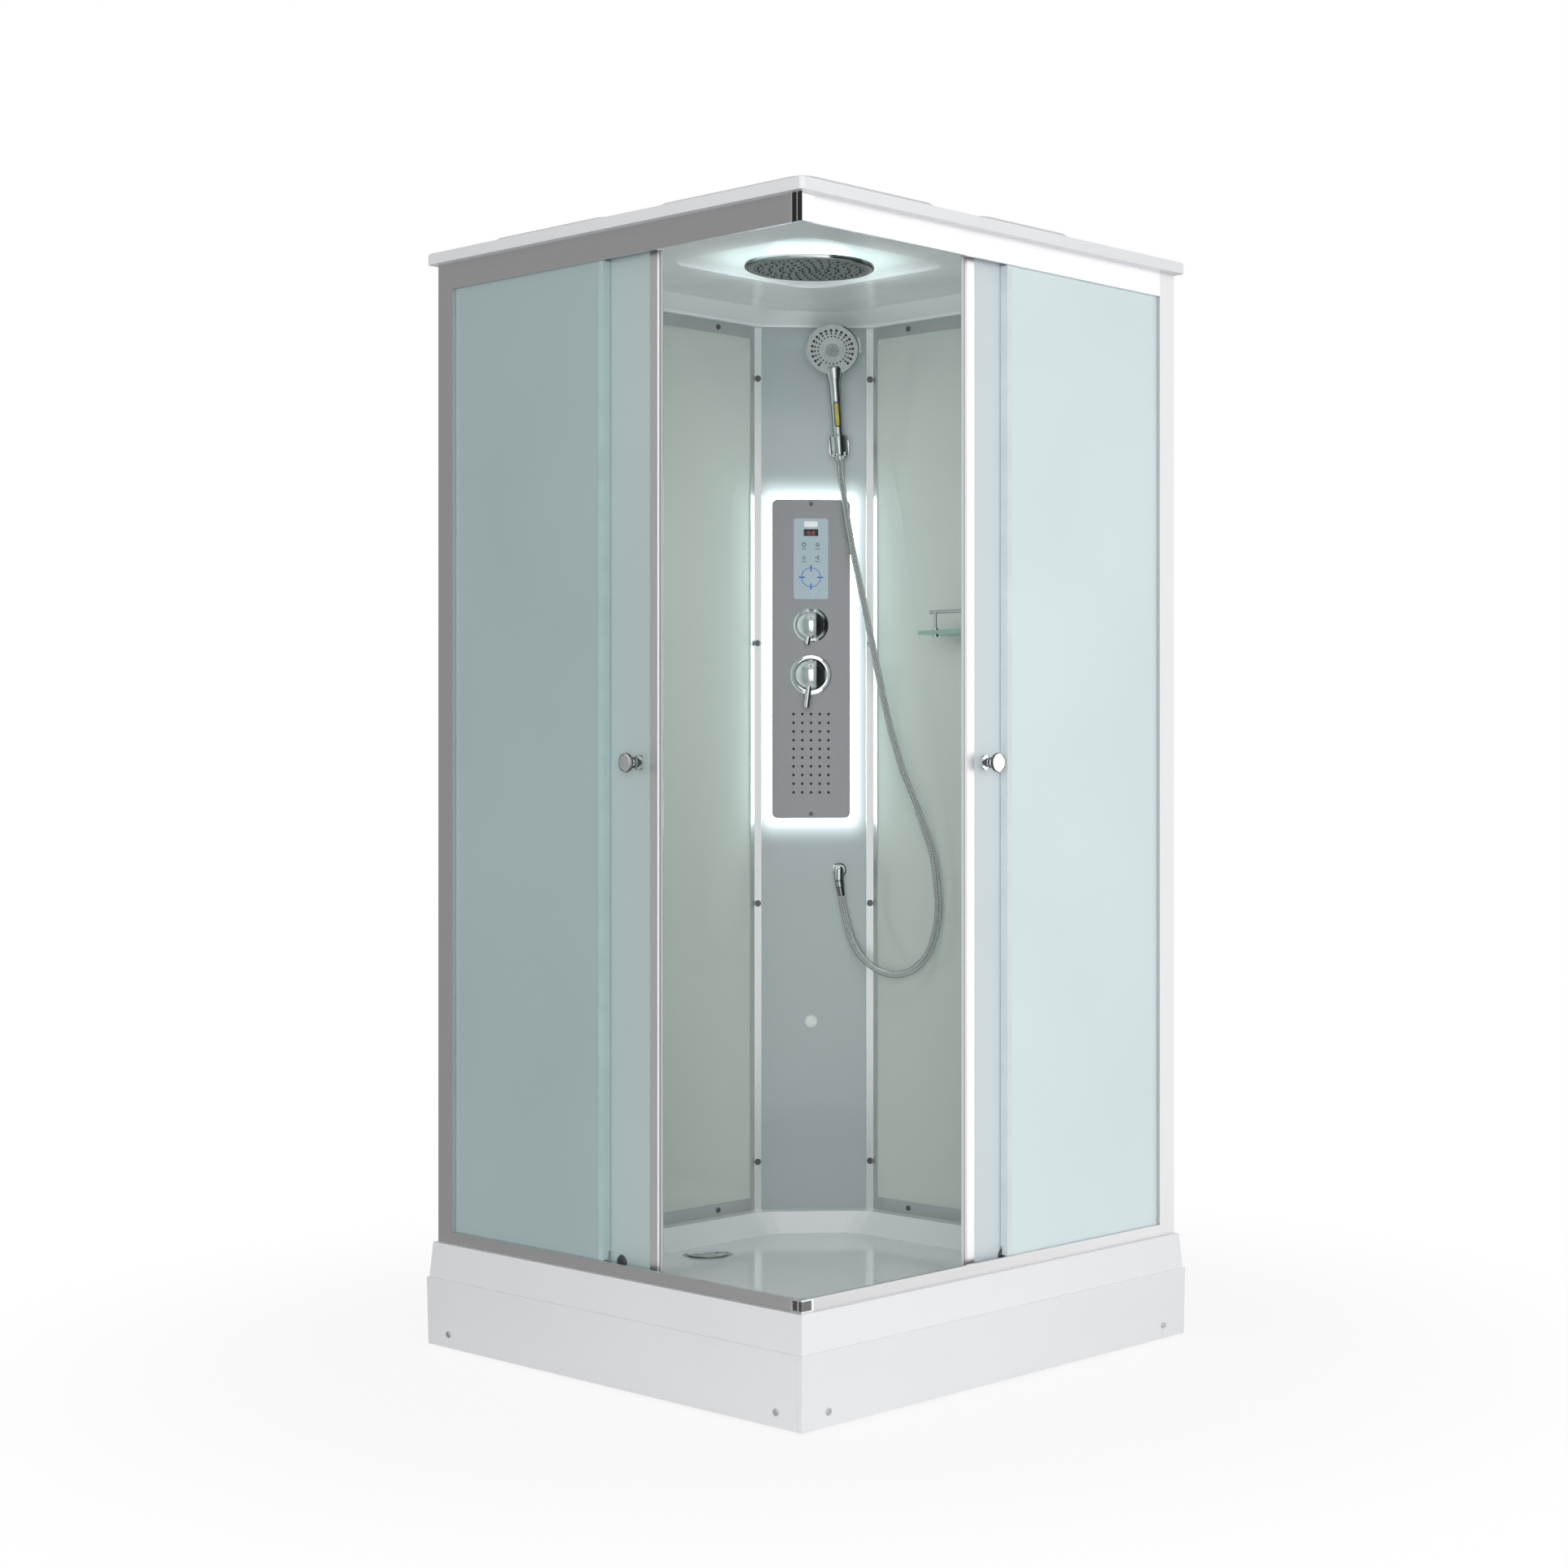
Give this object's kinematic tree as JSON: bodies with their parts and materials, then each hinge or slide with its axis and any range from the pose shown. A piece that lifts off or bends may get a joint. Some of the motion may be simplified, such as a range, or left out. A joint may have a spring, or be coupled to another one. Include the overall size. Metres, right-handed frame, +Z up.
{
  "type": "shower cabin",
  "caption": "Square corner-entry shower cabin with two sliding doors, frosted panels, a control column with mixer and hand shower, a raised tray and a roof with a rain shower.",
  "frame": {"origin": "middle of the square footprint, on the floor", "axes": "+Z up; the doors meet at the corner +X, -Y; the service column stands in the corner -X, +Y; the front face looks along -Y and the right face along +X"},
  "size_m": [1, 1, 2.055],
  "materials": {
    "acrylic_white": "glossy moulded acrylic",
    "aluminium_satin": "satin anodised, drawn lines",
    "steel_galvanised": "zinc coated",
    "chrome": "polished",
    "frosted_glass": "frosted inside",
    "door_glass": "clear tempered",
    "painted_glass": "painted on the back",
    "shelf_glass": "clear, polished edge",
    "brushed_panel": "vertical brushing",
    "column_grey": "satin lacquer",
    "keypad_blue": "backlit membrane",
    "diffuser": "luminous, milky",
    "seal_clear": "soft translucent vinyl",
    "screw_dark": "dark zinc",
    "nylon_grey": "wear resistant",
    "brass": "turned",
    "pipe_copper": "drawn tube",
    "trap_grey": "moulded",
    "rain_grey": "soft nozzle plate",
    "foot_black": "moulded"
  },
  "bodies": {
    "cabin": {"shower_tray": "acrylic_white", "apron_front": "acrylic_white", "apron_right": "acrylic_white", "tray_frame": "steel_galvanised", "tray_feet": "foot_black", "drain_trap": "trap_grey", "bottom_rail_front": "aluminium_satin", "bottom_rail_right": "aluminium_satin", "top_track_front": "aluminium_satin", "top_track_right": "aluminium_satin", "wall_post_front": "aluminium_satin", "wall_post_right": "aluminium_satin", "corner_caps": "chrome", "fixed_glass_front": "frosted_glass", "fixed_glass_right": "frosted_glass", "fixed_glass_seals": "seal_clear", "rear_glass_left": "painted_glass", "rear_glass_right": "painted_glass", "rear_rails": "aluminium_satin", "wall_column": "column_grey", "column_trims": "aluminium_satin", "cabin_screws": "screw_dark", "light_strips": "diffuser", "control_panel": "brushed_panel", "control_keypad": "keypad_blue", "mixer_valve": "brass", "mixer_rosette": "chrome", "supply_pipes": "pipe_copper", "hose_elbow": "chrome", "shower_hose": "chrome", "holder_bracket": "chrome", "rain_shower": "chrome", "rain_face": "rain_grey", "roof_panel": "acrylic_white", "glass_shelf": "shelf_glass", "shelf_rail": "chrome", "jet_cap": "acrylic_white"},
    "drain_cover": {"drain_cover": "chrome"},
    "diverter": {"diverter_knob": "chrome"},
    "mixer_stem": {"mixer_stem": "chrome"},
    "mixer_handle": {"mixer_handle": "chrome"},
    "cradle": {"holder_cradle": "chrome"},
    "handset": {"handset": "chrome"},
    "selector": {"spray_selector": "nylon_grey"},
    "door_front": {"door_glass_front": "door_glass", "door_profile_front": "aluminium_satin", "door_knob_front": "chrome", "door_hangers_front": "chrome"},
    "door_right": {"door_glass_right": "door_glass", "door_profile_right": "aluminium_satin", "door_knob_right": "chrome", "door_hangers_right": "chrome"},
    "roller_front_top_lead": {"roller_front_top_lead": "nylon_grey"},
    "roller_front_top_tail": {"roller_front_top_tail": "nylon_grey"},
    "roller_front_low_lead": {"roller_front_low_lead": "nylon_grey"},
    "roller_front_low_tail": {"roller_front_low_tail": "nylon_grey"},
    "roller_right_top_lead": {"roller_right_top_lead": "nylon_grey"},
    "roller_right_top_tail": {"roller_right_top_tail": "nylon_grey"},
    "roller_right_low_lead": {"roller_right_low_lead": "nylon_grey"},
    "roller_right_low_tail": {"roller_right_low_tail": "nylon_grey"}
  },
  "joints": [
    {"name": "door_front_slide", "type": "slide", "parent": "cabin", "child": "door_front", "axis": [-1, 0, 0], "range_m": [-0.342, 0.058]},
    {"name": "door_right_slide", "type": "slide", "parent": "cabin", "child": "door_right", "axis": [0, 1, 0], "range_m": [-0.38, 0.02]},
    {"name": "roller_front_top_lead_spin", "type": "hinge", "parent": "door_front", "child": "roller_front_top_lead", "pos_m": [0.0115, -0.4511, 1.9793], "axis": [0, 1, 0], "range_deg": [-2032.8, 2032.8]},
    {"name": "roller_front_top_tail_spin", "type": "hinge", "parent": "door_front", "child": "roller_front_top_tail", "pos_m": [-0.3005, -0.4511, 1.9793], "axis": [0, 1, 0], "range_deg": [-2032.8, 2032.8]},
    {"name": "roller_front_low_lead_spin", "type": "hinge", "parent": "door_front", "child": "roller_front_low_lead", "pos_m": [0.0115, -0.4511, 0.2143], "axis": [0, 1, 0], "range_deg": [-2597.4, 2597.4]},
    {"name": "roller_front_low_tail_spin", "type": "hinge", "parent": "door_front", "child": "roller_front_low_tail", "pos_m": [-0.3005, -0.4511, 0.2143], "axis": [0, 1, 0], "range_deg": [-2597.4, 2597.4]},
    {"name": "roller_right_top_lead_spin", "type": "hinge", "parent": "door_right", "child": "roller_right_top_lead", "pos_m": [0.4511, 0.0265, 1.9793], "axis": [1, 0, 0], "range_deg": [-2032.8, 2032.8]},
    {"name": "roller_right_top_tail_spin", "type": "hinge", "parent": "door_right", "child": "roller_right_top_tail", "pos_m": [0.4511, 0.3385, 1.9793], "axis": [1, 0, 0], "range_deg": [-2032.8, 2032.8]},
    {"name": "roller_right_low_lead_spin", "type": "hinge", "parent": "door_right", "child": "roller_right_low_lead", "pos_m": [0.4511, 0.0265, 0.2143], "axis": [1, 0, 0], "range_deg": [-2597.4, 2597.4]},
    {"name": "roller_right_low_tail_spin", "type": "hinge", "parent": "door_right", "child": "roller_right_low_tail", "pos_m": [0.4511, 0.3385, 0.2143], "axis": [1, 0, 0], "range_deg": [-2597.4, 2597.4]},
    {"name": "diverter_turn", "type": "hinge", "parent": "cabin", "child": "diverter", "pos_m": [-0.37725, 0.36876, 1.36596], "axis": [0.7071, -0.7071, 0], "range_deg": [-60, 60]},
    {"name": "mixer_turn", "type": "hinge", "parent": "cabin", "child": "mixer_stem", "pos_m": [-0.37725, 0.36876, 1.263], "axis": [0.7071, -0.7071, 0], "range_deg": [-45, 45]},
    {"name": "mixer_tilt", "type": "hinge", "parent": "mixer_stem", "child": "mixer_handle", "pos_m": [-0.36452, 0.35603, 1.263], "axis": [-0.7002, -0.7002, 0.1392], "range_deg": [0, 16]},
    {"name": "cradle_tilt", "type": "hinge", "parent": "cabin", "child": "cradle", "pos_m": [-0.33058, 0.40412, 1.736], "axis": [0.7071, 0.7071, 0], "range_deg": [-5, 15], "deforming": ["shower_hose"]},
    {"name": "handset_lift", "type": "slide", "parent": "cradle", "child": "handset", "axis": [0.0865, -0.1833, 0.9792], "range_m": [0, 0.025], "deforming": ["shower_hose"]},
    {"name": "selector_turn", "type": "hinge", "parent": "handset", "child": "selector", "pos_m": [-0.29172, 0.34637, 1.92698], "axis": [0.6572, -0.6139, -0.4373], "range_deg": [-25, 25]},
    {"name": "drain_cover_lift", "type": "slide", "parent": "cabin", "child": "drain_cover", "axis": [0, 0, 1], "range_m": [0, 0.04]}
  ],
  "couplings": [
    {"joint": "roller_front_top_lead_spin", "follows": "door_front_slide", "rad_per_m": -86.957},
    {"joint": "roller_front_top_tail_spin", "follows": "door_front_slide", "rad_per_m": -86.957},
    {"joint": "roller_front_low_lead_spin", "follows": "door_front_slide", "rad_per_m": -111.11},
    {"joint": "roller_front_low_tail_spin", "follows": "door_front_slide", "rad_per_m": -111.11},
    {"joint": "roller_right_top_lead_spin", "follows": "door_right_slide", "rad_per_m": -86.957},
    {"joint": "roller_right_top_tail_spin", "follows": "door_right_slide", "rad_per_m": -86.957},
    {"joint": "roller_right_low_lead_spin", "follows": "door_right_slide", "rad_per_m": -111.11},
    {"joint": "roller_right_low_tail_spin", "follows": "door_right_slide", "rad_per_m": -111.11}
  ]
}
